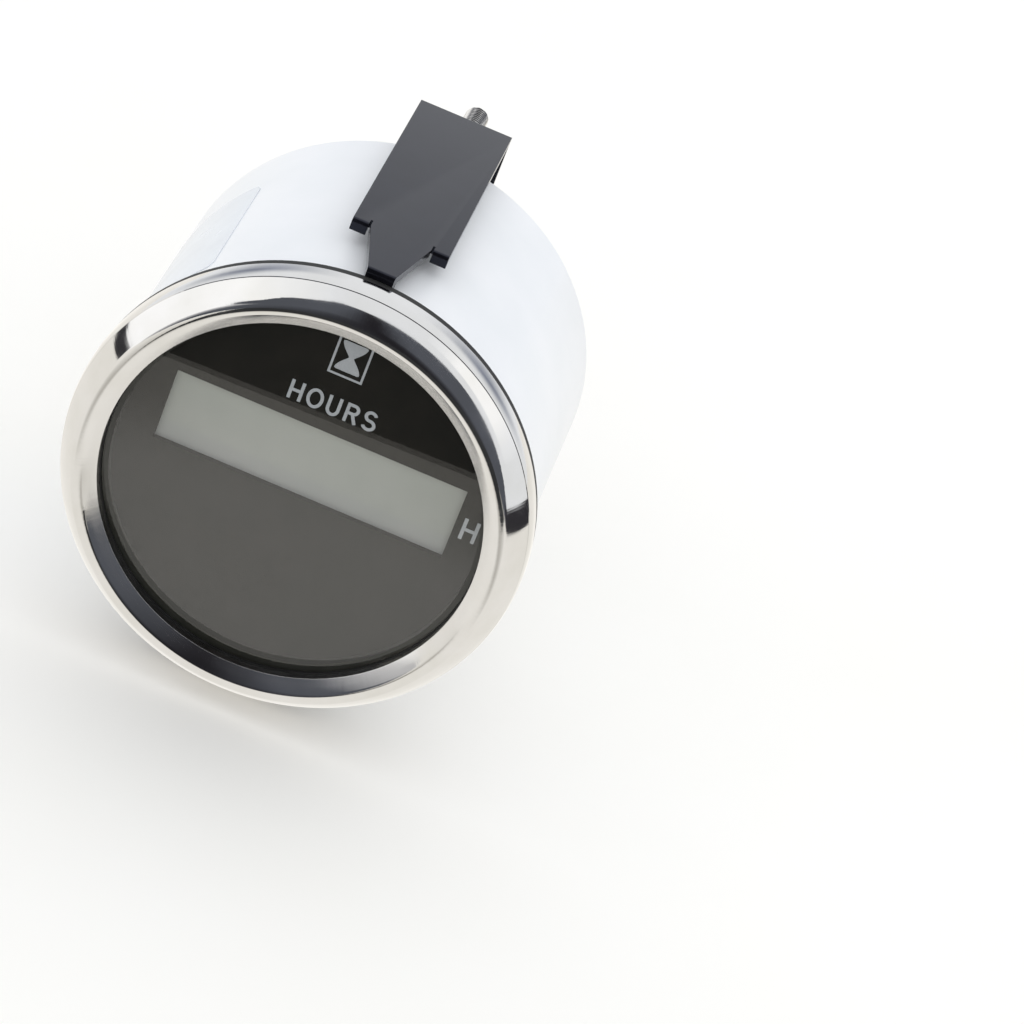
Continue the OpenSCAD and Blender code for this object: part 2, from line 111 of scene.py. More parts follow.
def mergedCopy(node, name, weld=2e-6, flat=0.4):
    # a CAD node's triangles joined up again, with its flat faces whole, so that edges can be rounded
    mesh = nodes[node].data.copy()
    mesh.name = name
    work = bmesh.new()
    work.from_mesh(mesh)
    bmesh.ops.remove_doubles(work, verts=work.verts, dist=weld)
    bmesh.ops.dissolve_limit(work, angle_limit=radians(flat), verts=work.verts, edges=work.edges)
    work.to_mesh(mesh)
    work.free()
    return mesh


def vertexPlaces(mesh):
    # the vertices as rows of x, y, z in mm
    co = np.empty(len(mesh.vertices) * 3, np.float32)
    mesh.vertices.foreach_get("co", co)
    return co.reshape(-1, 3) / mm


def vertexValue(mesh, name, values):
    # one number per vertex for a material to read
    mesh.attributes.new(name, "FLOAT", "POINT").data.foreach_set("value", values.astype(np.float32))


def addPiece(name, mesh, finish, body, sharp=35):
    # puts a mesh in the scene on its body, smooth except across sharp edges
    piece = bpy.data.objects.new(name, mesh)
    bpy.context.scene.collection.objects.link(piece)
    mesh.materials.clear()
    mesh.materials.append(finish)
    mesh.polygons.foreach_set("use_smooth", np.ones(len(mesh.polygons), bool))
    mesh.set_sharp_from_angle(angle=radians(sharp))
    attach(piece, body)
    return piece


def softenEdges(piece, name, size):
    # rounds the edges sharper than a given angle, by the width and steps given for the piece
    bevel = piece.modifiers.new(name, "BEVEL")
    bevel.width = size["edge"] * mm
    bevel.segments = size["segments"]
    bevel.limit_method = "ANGLE"
    bevel.angle_limit = radians(size["sharp"])
    bevel.harden_normals = True


def arc(centre, r, start, end, count):
    # points of a circle in a section; the angle is the outward normal's, 0 to the front and 90 outwards
    t = np.radians(np.linspace(start, end, count))
    return np.stack([centre[0] + r * np.sin(t), centre[1] - r * np.cos(t)], -1)


def turned(section, steps):
    # a section of (radius, Y) carried round the Y axis: x = r cos a, z = r sin a
    a = np.linspace(0, 2 * np.pi, steps, endpoint=False)[:, None]
    r, y = section[None, :, 0], section[None, :, 1]
    return np.stack([r * np.cos(a), y + 0 * a, r * np.sin(a)], -1)


# finishes

# injection-moulded ABS, white with a faint blue: a soft gloss, a fine mould grain and slight clouding
whiteAbs, tree, shader, place = newFinish("moulded_white_abs", IOR=1.53)
cloud = addNode(tree, "ShaderNodeTexNoise", {"Vector": place, "Scale": 1 / (9 * mm), "Detail": 4.0})
tint = addNode(tree, "ShaderNodeValToRGB", {"Fac": cloud.outputs["Fac"]},
               stops=[(0.3, linear("#E9EBED")), (0.7, linear("#EEEFF1"))])
tree.links.new(tint.outputs["Color"], shader.inputs["Base Color"])
smear = addNode(tree, "ShaderNodeTexNoise", {"Vector": place, "Scale": 1 / (2.5 * mm), "Detail": 3.0})
gloss = addNode(tree, "ShaderNodeMapRange", {"Value": smear.outputs["Fac"], "To Min": 0.34, "To Max": 0.46})
tree.links.new(gloss.outputs["Result"], shader.inputs["Roughness"])
grain = addNode(tree, "ShaderNodeTexNoise", {"Vector": place, "Scale": 1 / (0.25 * mm), "Detail": 2.0})
relief = addNode(tree, "ShaderNodeBump", {"Height": grain.outputs["Fac"], "Strength": 0.12,
                                          "Distance": 0.02 * mm})
tree.links.new(relief.outputs["Normal"], shader.inputs["Normal"])

# deep-drawn stainless steel, buffed on a lathe: near-mirror with hair lines that run round the ring
polishedSteel, tree, shader, place = newFinish("buffed_stainless_steel", Metallic=1.0)
axes = addNode(tree, "ShaderNodeSeparateXYZ", {"Vector": place})
flat = addNode(tree, "ShaderNodeCombineXYZ", {"X": axes.outputs["X"], "Y": axes.outputs["Z"]})
radius = addNode(tree, "ShaderNodeVectorMath", {0: flat.outputs["Vector"]}, operation="LENGTH")
ringPlace = addNode(tree, "ShaderNodeCombineXYZ", {"X": radius.outputs["Value"], "Y": axes.outputs["Y"]})
hair = addNode(tree, "ShaderNodeTexNoise", {"Vector": ringPlace.outputs["Vector"], "Scale": 1 / (0.12 * mm),
                                            "Detail": 3.0})
bearing = addNode(tree, "ShaderNodeMath", {0: axes.outputs["Z"], 1: axes.outputs["X"]}, operation="ARCTAN2")
crossPlace = addNode(tree, "ShaderNodeCombineXYZ", {"X": bearing.outputs["Value"]})
# streaks 0.6 mm apart at 25 mm from the axis
cross = addNode(tree, "ShaderNodeTexNoise", {"Vector": crossPlace.outputs["Vector"], "Scale": 25 / 0.6,
                                             "Detail": 4.0})
marks = addNode(tree, "ShaderNodeMath", {0: hair.outputs["Fac"], 1: 0.06, 2: cross.outputs["Fac"]},
                operation="MULTIPLY_ADD")
haze = addNode(tree, "ShaderNodeTexNoise", {"Vector": place, "Scale": 1 / (5 * mm), "Detail": 5.0})
rough = addNode(tree, "ShaderNodeMapRange", {"Value": haze.outputs["Fac"], "From Min": 0.35,
                                             "From Max": 0.75, "To Min": 0.03, "To Max": 0.13})
# the lip is not buffed
lipRough = addNode(tree, "ShaderNodeMapRange", {"Value": radius.outputs["Value"], "From Min": 23.2 * mm,
                                                "From Max": 23.9 * mm, "To Min": 0.13, "To Max": 0.0})
allRough = addNode(tree, "ShaderNodeMath", {0: rough.outputs["Result"], 1: lipRough.outputs["Result"]},
                   operation="ADD")
tree.links.new(allRough.outputs["Value"], shader.inputs["Roughness"])
tone = addNode(tree, "ShaderNodeValToRGB", {"Fac": haze.outputs["Fac"]},
               stops=[(0.3, linear("#D3D2CF")), (0.7, linear("#DAD9D8"))])
tree.links.new(tone.outputs["Color"], shader.inputs["Base Color"])
relief = addNode(tree, "ShaderNodeBump", {"Height": marks.outputs["Value"], "Strength": 0.5,
                                          "Distance": 0.012 * mm})
tree.links.new(relief.outputs["Normal"], shader.inputs["Normal"])

# moulded nitrile rubber: dead black with a dusty bloom
blackRubber, tree, shader, place = newFinish("nitrile_rubber", IOR=1.52)
bloom = addNode(tree, "ShaderNodeTexNoise", {"Vector": place, "Scale": 1 / (1.5 * mm), "Detail": 5.0})
tint = addNode(tree, "ShaderNodeValToRGB", {"Fac": bloom.outputs["Fac"]},
               stops=[(0.35, linear("#141414")), (0.75, linear("#232322"))])
tree.links.new(tint.outputs["Color"], shader.inputs["Base Color"])
dull = addNode(tree, "ShaderNodeMapRange", {"Value": bloom.outputs["Fac"], "To Min": 0.5, "To Max": 0.75})
tree.links.new(dull.outputs["Result"], shader.inputs["Roughness"])

# float glass, cut and left clear: only its reflections show, through a faint uneven film of handling
clearGlass, tree, shader, place = newFinish("float_glass", Transmission_Weight=1.0, IOR=1.54, Roughness=0.0)
film = addNode(tree, "ShaderNodeTexNoise", {"Vector": place, "Scale": 1 / (7 * mm), "Detail": 4.0})
wipe = addNode(tree, "ShaderNodeValToRGB", {"Fac": film.outputs["Fac"]},
               stops=[(0.4, linear("#FFFFFF")), (0.8, linear("#F7F9F8"))])
tree.links.new(wipe.outputs["Color"], shader.inputs["Base Color"])

# polycarbonate sheet, screen-printed satin black: fine even tooth
blackDial, tree, shader, place = newFinish("black_printed_polycarbonate", IOR=1.5, Specular_IOR_Level=0.05)
tooth = addNode(tree, "ShaderNodeTexNoise", {"Vector": place, "Scale": 1 / (3 * mm), "Detail": 3.0})
tint = addNode(tree, "ShaderNodeValToRGB", {"Fac": tooth.outputs["Fac"]},
               stops=[(0.3, linear("#191813")), (0.7, linear("#1D1B16"))])
tree.links.new(tint.outputs["Color"], shader.inputs["Base Color"])
satin = addNode(tree, "ShaderNodeMapRange", {"Value": tooth.outputs["Fac"], "To Min": 0.55, "To Max": 0.7})
tree.links.new(satin.outputs["Result"], shader.inputs["Roughness"])

# dark polycarbonate, moulded dull; its charcoal grey is lighter than the dial's black as painted light that
# lifts the ring out of its shade
ringLightenedForShade, tree, shader, place = newFinish("black_polycarbonate_lightened_for_shade", IOR=1.5, Specular_IOR_Level=0.2)
swirl = addNode(tree, "ShaderNodeTexNoise", {"Vector": place, "Scale": 1 / (2 * mm), "Detail": 3.0})
tint = addNode(tree, "ShaderNodeValToRGB", {"Fac": swirl.outputs["Fac"]},
               stops=[(0.3, linear("#2D2D27")), (0.7, linear("#34342D"))])
tree.links.new(tint.outputs["Color"], shader.inputs["Base Color"])
satin = addNode(tree, "ShaderNodeMapRange", {"Value": swirl.outputs["Fac"], "To Min": 0.45, "To Max": 0.6})
tree.links.new(satin.outputs["Result"], shader.inputs["Roughness"])

# screen-printed silver ink: pale grey with a flake sparkle
silverInk, tree, shader, place = newFinish("silver_screen_ink", Metallic=0.25)
flake = addNode(tree, "ShaderNodeTexVoronoi", {"Vector": place, "Scale": 1 / (0.12 * mm)})
tint = addNode(tree, "ShaderNodeValToRGB", {"Fac": flake.outputs["Distance"]},
               stops=[(0.0, linear("#B4B7BA")), (0.8, linear("#A4A8AB"))])
tree.links.new(tint.outputs["Color"], shader.inputs["Base Color"])
spark = addNode(tree, "ShaderNodeMapRange", {"Value": flake.outputs["Distance"], "To Min": 0.4,
                                             "To Max": 0.6})
tree.links.new(spark.outputs["Result"], shader.inputs["Roughness"])

# reflective liquid-crystal glass under a satin polariser: grey-green, with painted shade making it a little
# darker along the lower edge
greyDisplay, tree, shader, place = newFinish("display_polariser", IOR=1.5)
axes = addNode(tree, "ShaderNodeSeparateXYZ", {"Vector": place})
# painted shade: the colour darkens towards the lower edge of the cell
height = addNode(tree, "ShaderNodeMapRange", {"Value": axes.outputs["Z"], "From Min": -0.7 * mm,
                                              "From Max": 8.3 * mm})
speck = addNode(tree, "ShaderNodeTexNoise", {"Vector": place, "Scale": 1 / (0.3 * mm), "Detail": 2.0})
level = addNode(tree, "ShaderNodeMath", {0: speck.outputs["Fac"], 1: 0.06, 2: height.outputs["Result"]},
                operation="MULTIPLY_ADD")
tint = addNode(tree, "ShaderNodeValToRGB", {"Fac": level.outputs["Value"]},
               stops=[(0.0, linear("#8A8B88")), (0.24, linear("#8C8E89")), (0.32, linear("#90928B")),
                      (1.0, linear("#93968E"))])
tree.links.new(tint.outputs["Color"], shader.inputs["Base Color"])
satin = addNode(tree, "ShaderNodeMapRange", {"Value": speck.outputs["Fac"], "To Min": 0.45, "To Max": 0.6})
tree.links.new(satin.outputs["Result"], shader.inputs["Roughness"])

# cold-rolled steel, stoved in black gloss enamel: slight orange peel, dust specks
blackEnamel, tree, shader, place = newFinish("black_stoved_enamel", IOR=1.47,
                                             Specular_Tint=linear("#D3D9F3"))
peel = addNode(tree, "ShaderNodeTexNoise", {"Vector": place, "Scale": 1 / (0.8 * mm), "Detail": 2.0})
dust = addNode(tree, "ShaderNodeTexNoise", {"Vector": place, "Scale": 1 / (3 * mm), "Detail": 6.0})
tint = addNode(tree, "ShaderNodeValToRGB", {"Fac": dust.outputs["Fac"]},
               stops=[(0.4, linear("#0D0D10")), (0.8, linear("#16161B"))])
tree.links.new(tint.outputs["Color"], shader.inputs["Base Color"])
gloss = addNode(tree, "ShaderNodeMapRange", {"Value": dust.outputs["Fac"], "To Min": 0.1, "To Max": 0.2})
tree.links.new(gloss.outputs["Result"], shader.inputs["Roughness"])
relief = addNode(tree, "ShaderNodeBump", {"Height": peel.outputs["Fac"], "Strength": 0.05,
                                          "Distance": 0.02 * mm})
tree.links.new(relief.outputs["Normal"], shader.inputs["Normal"])

# zinc-plated steel: grey, with fine drag marks from the plating barrel
zincSteel, tree, shader, place = newFinish("zinc_plated_steel", Metallic=1.0)
drag = addNode(tree, "ShaderNodeTexNoise", {"Vector": place, "Scale": 1 / (0.4 * mm), "Detail": 4.0})
tint = addNode(tree, "ShaderNodeValToRGB", {"Fac": drag.outputs["Fac"]},
               stops=[(0.3, linear("#A5A4A1")), (0.7, linear("#C2C1BE"))])
tree.links.new(tint.outputs["Color"], shader.inputs["Base Color"])
rough = addNode(tree, "ShaderNodeMapRange", {"Value": drag.outputs["Fac"], "To Min": 0.22, "To Max": 0.4})
tree.links.new(rough.outputs["Result"], shader.inputs["Roughness"])

# the same steel on the rolled threads: painted shade dark in the roots and a painted highlight bright on the
# crests, by the height of each point between root and crest
threadSteel, tree, shader, place = newFinish("rolled_thread_steel", Metallic=1.0)
rootShadeShare = addNode(tree, "ShaderNodeAttribute", attribute_name="rise")
tint = addNode(tree, "ShaderNodeValToRGB", {"Fac": rootShadeShare.outputs["Fac"]},
               stops=[(0.1, linear("#262423")), (0.9, linear("#DEDCD9"))])
tree.links.new(tint.outputs["Color"], shader.inputs["Base Color"])
rough = addNode(tree, "ShaderNodeMapRange", {"Value": rootShadeShare.outputs["Fac"], "To Min": 0.5, "To Max": 0.25})
tree.links.new(rough.outputs["Result"], shader.inputs["Roughness"])

# moulded natural acetal and light-guide acrylic inside the barrel: milky white
milkyPlastic, tree, shader, place = newFinish("natural_acetal", IOR=1.48)
cloud = addNode(tree, "ShaderNodeTexNoise", {"Vector": place, "Scale": 1 / (4 * mm), "Detail": 3.0})
tint = addNode(tree, "ShaderNodeValToRGB", {"Fac": cloud.outputs["Fac"]},
               stops=[(0.3, linear("#E6E5DF")), (0.7, linear("#EFEEE9"))])
tree.links.new(tint.outputs["Color"], shader.inputs["Base Color"])
gloss = addNode(tree, "ShaderNodeMapRange", {"Value": cloud.outputs["Fac"], "To Min": 0.35, "To Max": 0.5})
tree.links.new(gloss.outputs["Result"], shader.inputs["Roughness"])

# glass-epoxy laminate under green solder lacquer: the weave shows through as a fine check
greenBoard, tree, shader, place = newFinish("lacquered_glass_epoxy", IOR=1.55, Roughness=0.3)
check = addNode(tree, "ShaderNodeTexChecker", {"Vector": place, "Scale": 1 / (0.5 * mm),
                                               "Color1": linear("#0E5A32"), "Color2": linear("#12653A")})
tree.links.new(check.outputs["Color"], shader.inputs["Base Color"])
weave = addNode(tree, "ShaderNodeBump", {"Height": check.outputs["Fac"], "Strength": 0.08,
                                         "Distance": 0.01 * mm})
tree.links.new(weave.outputs["Normal"], shader.inputs["Normal"])

# epoxy moulding compound of chip packages: dark grey, eroded mould finish
blackEpoxy, tree, shader, place = newFinish("epoxy_moulding_compound", IOR=1.55)
grit = addNode(tree, "ShaderNodeTexNoise", {"Vector": place, "Scale": 1 / (0.15 * mm), "Detail": 3.0})
tint = addNode(tree, "ShaderNodeValToRGB", {"Fac": grit.outputs["Fac"]},
               stops=[(0.3, linear("#1C1D1E")), (0.7, linear("#29292A"))])
tree.links.new(tint.outputs["Color"], shader.inputs["Base Color"])
dull = addNode(tree, "ShaderNodeMapRange", {"Value": grit.outputs["Fac"], "To Min": 0.5, "To Max": 0.7})
tree.links.new(dull.outputs["Result"], shader.inputs["Roughness"])

# aluminium can in a shrunk blue vinyl sleeve: glossy, a little uneven where it shrank
blueSleeve, tree, shader, place = newFinish("blue_vinyl_sleeve", IOR=1.53)
shrink = addNode(tree, "ShaderNodeTexNoise", {"Vector": place, "Scale": 1 / (1.2 * mm), "Detail": 3.0})
tint = addNode(tree, "ShaderNodeValToRGB", {"Fac": shrink.outputs["Fac"]},
               stops=[(0.3, linear("#27405F")), (0.7, linear("#304D70"))])
tree.links.new(tint.outputs["Color"], shader.inputs["Base Color"])
gloss = addNode(tree, "ShaderNodeMapRange", {"Value": shrink.outputs["Fac"], "To Min": 0.2, "To Max": 0.35})
tree.links.new(gloss.outputs["Result"], shader.inputs["Roughness"])

# moulded natural nylon of the socket: warm ivory with a waxy sheen
ivoryNylon, tree, shader, place = newFinish("natural_nylon", IOR=1.53)
cloud = addNode(tree, "ShaderNodeTexNoise", {"Vector": place, "Scale": 1 / (3 * mm), "Detail": 4.0})
tint = addNode(tree, "ShaderNodeValToRGB", {"Fac": cloud.outputs["Fac"]},
               stops=[(0.3, linear("#E3DCC6")), (0.7, linear("#ECE6D4"))])
tree.links.new(tint.outputs["Color"], shader.inputs["Base Color"])
gloss = addNode(tree, "ShaderNodeMapRange", {"Value": cloud.outputs["Fac"], "To Min": 0.38, "To Max": 0.52})
tree.links.new(gloss.outputs["Result"], shader.inputs["Roughness"])

# stamped brass under a thin tin wash: pale gold, a little uneven
tinnedBrass, tree, shader, place = newFinish("tinned_brass", Metallic=1.0)
wash = addNode(tree, "ShaderNodeTexNoise", {"Vector": place, "Scale": 1 / (0.6 * mm), "Detail": 4.0})
tint = addNode(tree, "ShaderNodeValToRGB", {"Fac": wash.outputs["Fac"]},
               stops=[(0.3, linear("#C9B06A")), (0.7, linear("#D9C68C"))])
tree.links.new(tint.outputs["Color"], shader.inputs["Base Color"])
rough = addNode(tree, "ShaderNodeMapRange", {"Value": wash.outputs["Fac"], "To Min": 0.2, "To Max": 0.36})
tree.links.new(rough.outputs["Result"], shader.inputs["Roughness"])

# calendered polyester film: greyer and bluer than the plastic, with a satin gloss
blankFilm, tree, shader, place = newFinish("polyester_film", IOR=1.57)
ripple = addNode(tree, "ShaderNodeTexNoise", {"Vector": place, "Scale": 1 / (6 * mm), "Detail": 2.0})
tint = addNode(tree, "ShaderNodeValToRGB", {"Fac": ripple.outputs["Fac"]},
               stops=[(0.3, linear("#D6DBE2")), (0.7, linear("#DDE2E8"))])
tree.links.new(tint.outputs["Color"], shader.inputs["Base Color"])
gloss = addNode(tree, "ShaderNodeMapRange", {"Value": ripple.outputs["Fac"], "To Min": 0.2, "To Max": 0.3})
tree.links.new(gloss.outputs["Result"], shader.inputs["Roughness"])

print("finishes made")

for node, finish in {
        "panel_gasket": blackRubber, "lens": clearGlass, "lens_seal": blackRubber,
        "spacer_ring": ringLightenedForShade, "dial_plate": blackDial, "lcd_cell": greyDisplay,
        "lcd_carrier": milkyPlastic, "backlight_panel": milkyPlastic, "backlight_leds": milkyPlastic,
        "zebra_strip_upper": blackRubber, "zebra_strip_lower": blackRubber, "circuit_board": greenBoard,
        "board_screws": zincSteel, "microcontroller": blackEpoxy, "memory_chip": blackEpoxy,
        "crystal": zincSteel, "regulator": blackEpoxy, "capacitor": blueSleeve, "riser_board": greenBoard,
        "header_shell": ivoryNylon, "header_pins": tinnedBrass, "washer_upper": zincSteel,
        "washer_lower": zincSteel, "nut_upper": zincSteel, "nut_lower": zincSteel}.items():
    nodes[node].data.materials.clear()
    nodes[node].data.materials.append(finish)
# the dial is lit as if it lay open
nodes["lens"].visible_shadow = nodes["lens"].visible_diffuse = False
print("finishes on the plain nodes")

# bezel: the sheet's section, outside face first and back along the inside, carried round the axis
bezelRing = dict(outer=27.55, opening=22.45, bore=26.25, sheet=0.5, rear=-1.0, lip=-4.75,
                 crest=(24.55, -6.05), crestR=1.15, crestEnd=47, shoulder=(21.55, -2.4), shoulderR=6.0,
                 crease=(27.293, -4.138), creaseTurn=73.2, groove=0.07, grooveDeep=0.091, grooveTurn=68,
                 innerSlope=-35, outerSlope=55, edgeR=0.1, rearR=0.15, steps=512)
b = bezelRing
slopeNormal = np.array([np.sin(np.radians(b["innerSlope"])), -np.cos(np.radians(b["innerSlope"]))])
slopeReach = slopeNormal @ (np.array(b["crest"]) + b["crestR"] * slopeNormal)
edgeX = b["opening"] + b["edgeR"]        # the rounding between inner slope and wall touches both
edgeY = (slopeReach - b["edgeR"] - slopeNormal[0] * edgeX) / slopeNormal[1]
insideX = b["opening"] + b["sheet"]
insideY = (slopeReach - b["sheet"] - slopeNormal[0] * insideX) / slopeNormal[1]
slopeFrom = arc(b["crest"], b["crestR"], b["crestEnd"], b["crestEnd"], 1)[0]
# the outer slope bellies out a little between crest and crease
chord = np.array(b["crease"]) - slopeFrom
slopeTurn = 2 * np.degrees(np.arctan2(chord[1], chord[0])) - b["crestEnd"]
slopeR = np.hypot(*chord) / 2 / np.sin(np.radians(slopeTurn - b["crestEnd"]) / 2)
slopeAt = slopeFrom - arc((0, 0), slopeR, b["crestEnd"], b["crestEnd"], 1)[0]
slopeStep = np.degrees(b["groove"] / slopeR)
shoulderStep = np.degrees(b["groove"] / b["shoulderR"])
grooveAt = np.array(b["crease"]) - arc((0, 0), b["grooveDeep"], b["grooveTurn"], b["grooveTurn"], 1)[0]
section = np.vstack([
    arc((b["outer"] - b["rearR"], b["rear"] - b["rearR"]), b["rearR"], 180, 90, 7),
    arc(b["shoulder"], b["shoulderR"], 90, b["creaseTurn"] + shoulderStep, 24),
    [grooveAt],
    arc(slopeAt, slopeR, slopeTurn - slopeStep, b["crestEnd"], 24),
    arc(b["crest"], b["crestR"], b["crestEnd"], b["innerSlope"], 40),
    arc((edgeX, edgeY), b["edgeR"], b["innerSlope"], -90, 6),
    [[b["opening"], b["lip"]], [insideX, b["lip"]], [insideX, insideY]],
    arc(b["crest"], b["crestR"] - b["sheet"], b["innerSlope"], b["outerSlope"], 16),
    arc(b["shoulder"], b["shoulderR"] - b["sheet"], b["creaseTurn"], 90, 6),
    [[b["outer"] - b["sheet"], b["rear"] - b["sheet"]], [b["bore"], b["rear"] - b["sheet"]],
     [b["bore"], b["rear"]]],
])
bezel = addPiece("bezel_ring", gridMesh("bezel_ring", turned(section, b["steps"]), True, True),
                 polishedSteel, "meter")
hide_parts("bezel")
print("bezel made")

# studs: a hexagon head and a plain shank, then a thread whose radius is a clipped triangle wave of
# (turn + distance / pitch) between root and crest
studThread = dict(headFrom=33.1, headTo=35.2, headFlats=5.5, threadFrom=40.0, end=66.0, chamfer=0.4,
                  crest=1.5, root=1.19, pitch=0.5, rootFlat=0.1, flank=0.75, offset=20.0, steps=48,
                  perTurn=10, endSkin=0.01, endRise=0.8)


def studPoints(s, side):
    turns = (s["end"] - s["threadFrom"]) / s["pitch"]
    threadY = np.linspace(s["threadFrom"], s["end"], int(turns * s["perTurn"]))
    y = np.concatenate([[s["headFrom"]] * 2, [s["headTo"]] * 2, [s["threadFrom"]], threadY, [s["end"]]])
    y = y[:, None]
    a = np.linspace(0, 2 * np.pi, s["steps"], endpoint=False)[None, :]
    wave = np.abs(2 * np.mod(y / s["pitch"] + a / (2 * np.pi), 1) - 1)
    depth = s["root"] + (s["crest"] - s["root"]) * np.clip((wave - s["rootFlat"]) / s["flank"], 0, 1)
    r = np.where(y > s["threadFrom"], depth, s["crest"] + 0 * a)
    r = np.minimum(r, s["crest"] - s["chamfer"] + (s["end"] - y))        # chamfered tip
    sector = np.mod(a + np.pi / 6, np.pi / 3) - np.pi / 6
    r[1:3] = s["headFlats"] / 2 / np.cos(sector - np.pi / 6 * np.sign(sector))
    r[[0, -1]] = 0        # closes both ends
    return np.stack([r * np.cos(a), y + 0 * a, side * s["offset"] + r * np.sin(a)], -1)


t = studThread
for name, side in (("stud_upper", 1), ("stud_lower", -1)):
    mesh = gridMesh(name + "_threaded", studPoints(t, side), False, True)
    x, y, z = vertexPlaces(mesh).T
    # share from root to crest, which the thread finish turns into painted shade in the roots and a painted
    # highlight on the crests
    rise = np.clip((np.hypot(x, z - side * t["offset"]) - t["root"]) / (t["crest"] - t["root"]), 0, 1)
    # the cut end is bright
    vertexValue(mesh, "rise", np.where(y > t["end"] - t["endSkin"], t["endRise"], rise))
    stud = addPiece(name + "_threaded", mesh, threadSteel, "meter", sharp=40)
    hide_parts(name)
print("studs made")

# bracket: the folded sheet with its sheared edges broken
bracketSheet = dict(edge=0.2, segments=4, sharp=40)
bracket = addPiece("bracket_sheet", mergedCopy("mounting_bracket", "bracket_sheet"), blackEnamel, "clamp")
softenEdges(bracket, "broken_edges", bracketSheet)
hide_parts("mounting_bracket")
print("bracket made")

# housing: the moulding with its outer edges eased
housingShell = dict(edge=0.08, segments=2, sharp=40)
housing = addPiece("housing_shell", mergedCopy("housing", "housing_shell"), whiteAbs, "meter")
softenEdges(housing, "eased_edges", housingShell)
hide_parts("housing")
print("housing made")

# label film: a patch of the barrel's cylinder, angle by length, with an outer and an inner skin
labelFilm = dict(r=25.8, thick=0.08, fromDeg=136.3, toDeg=225.0, front=6.0, rear=29.9, corner=1.2,
                 sink=0.02, steps=90)


def filmPoints(f):
    a = np.radians(np.linspace(f["fromDeg"], f["toDeg"], f["steps"]))
    half = (f["rear"] - f["front"]) / 2
    # distance from the nearer end, for the round corners
    reach = np.minimum(a - a[0], a[-1] - a) * f["r"]
    short = f["corner"] - np.sqrt(np.maximum(f["corner"] ** 2 - np.maximum(f["corner"] - reach, 0) ** 2, 0))
    v = np.array([-1, -1, 1, 1])
    r = f["r"] + np.array([-f["sink"], f["thick"], f["thick"], -f["sink"]])
    y = f["front"] + half + v[None, :] * (half - short[:, None])
    grid = np.stack([r * np.cos(a[:, None]), y, r * np.sin(a[:, None])], -1)
    middle = grid.mean(1, keepdims=True)
    return np.concatenate([np.repeat(middle[:1], 4, 1), grid, np.repeat(middle[-1:], 4, 1)])


addPiece("label_film", gridMesh("label_film", filmPoints(labelFilm), False, True), blankFilm, "meter")
print("label film made")

# print on the dial: strokes of ink a hair in front of the plate, each letter drawn in its own box
dialPrint = dict(face=-2.05, thick=0.012, build=0.4, low=10.8, high=13.28, pen=0.39, over=0.05,
                 word=[("H", -4.86, -3.2), ("O", -2.73, -0.74), ("U", -0.28, 1.35), ("R", 1.94, 3.68),
                       ("S", 4.07, 5.76)],
                 unit=("H", 19.0, 20.92), unitLow=2.55, unitHigh=5.36, unitPen=0.43,
                 frameAt=0.48, frameX=2.09, frameLow=15.87, frameHigh=21.6, line=0.27,
                 glassAt=0.46, glassX=1.51, waistX=0.29, glassLow=16.63, glassHigh=20.43, glassSteps=41,
                 bulge=1.15, foot=0.2, footFrom=0.93)
p = dialPrint


def curl(centre, wide, tall, start, end, count=32):
    # part of an ellipse, counted from the right and up
    t = np.radians(np.linspace(start, end, count))
    return np.stack([centre[0] + wide * np.cos(t), centre[1] + tall * np.sin(t)], -1)


# paths of the pen across a unit box
letterPaths = {
    "H": [np.array([[0, 0], [0, 1.0]]), np.array([[1, 0], [1, 1.0]]), np.array([[0, 0.5], [1, 0.5]])],
    "O": [curl((0.5, 0.5), 0.5, 0.5, 0, 360, 64)],
    "U": [np.vstack([[[0, 1.0]], curl((0.5, 0.34), 0.5, 0.34, 180, 360), [[1, 1.0]]])],
    "R": [np.array([[0, 0], [0, 1.0]]),
          np.vstack([[[0, 1.0]], curl((0.52, 0.745), 0.38, 0.255, 90, -90), [[0, 0.49]]]),
          np.array([[0.5, 0.49], [0.94, 0.0]])],
    "S": [np.vstack([curl((0.5, 0.75), 0.44, 0.25, 20, 250, 40),
                     curl((0.5, 0.255), 0.5, 0.255, 70, -160, 40)])],
}


def strokeMesh(path, pen, layer):
    # a flat band carried along a path on the dial: half the pen's width to each side, square at open ends;
    # later strokes of a letter stand a little higher where they cross earlier ones
    closed = np.allclose(path[0], path[-1])
    path = path[:-1] if closed else path
    ahead = np.roll(path, -1, 0) - path if closed else np.gradient(path, axis=0)
    ahead = ahead + np.roll(ahead, 1, 0) if closed else ahead
    across = np.stack([-ahead[:, 1], ahead[:, 0]], -1) / np.hypot(*ahead.T)[:, None] * pen / 2
    rim = path[:, None, :] + across[:, None, :] * np.array([-1, 1, 1, -1])[None, :, None]
    thick = p["thick"] * (1 + p["build"] * layer)
    y = p["face"] - thick * np.array([0, 0, 1, 1])[None, :] + 0 * rim[..., 0]
    band = np.stack([rim[..., 0], y, rim[..., 1]], -1)
    if not closed:
        ends = band.mean(1, keepdims=True)
        band = np.concatenate([np.repeat(ends[:1], 4, 1), band, np.repeat(ends[-1:], 4, 1)])
    return gridMesh("stroke", band, closed, True)


def letterMeshes(letter, left, right, low, high, pen, over):
    # the pen's paths fitted to a box on the dial; round letters reach over it a little
    low, high = (low - over * (letter in "OUS"), high + over * (letter in "OS"))
    start, size = np.array([left + pen / 2, low]), np.array([right - left - pen, high - low])
    meshes = []
    for layer, path in enumerate(letterPaths[letter]):
        level = np.clip(path[:, 1], 0, 1) * (size[1] - pen) + pen / 2
        if letter in "HR":        # straight strokes end on the edges of the box
            level[path[:, 1] == 0] = 0
        if letter in "HU" or len(path) == 2:
            level[path[:, 1] == 1] = size[1]
        path = np.stack([start[0] + path[:, 0] * size[0], start[1] + level], -1)
        meshes.append(strokeMesh(path, pen, layer))
    return meshes


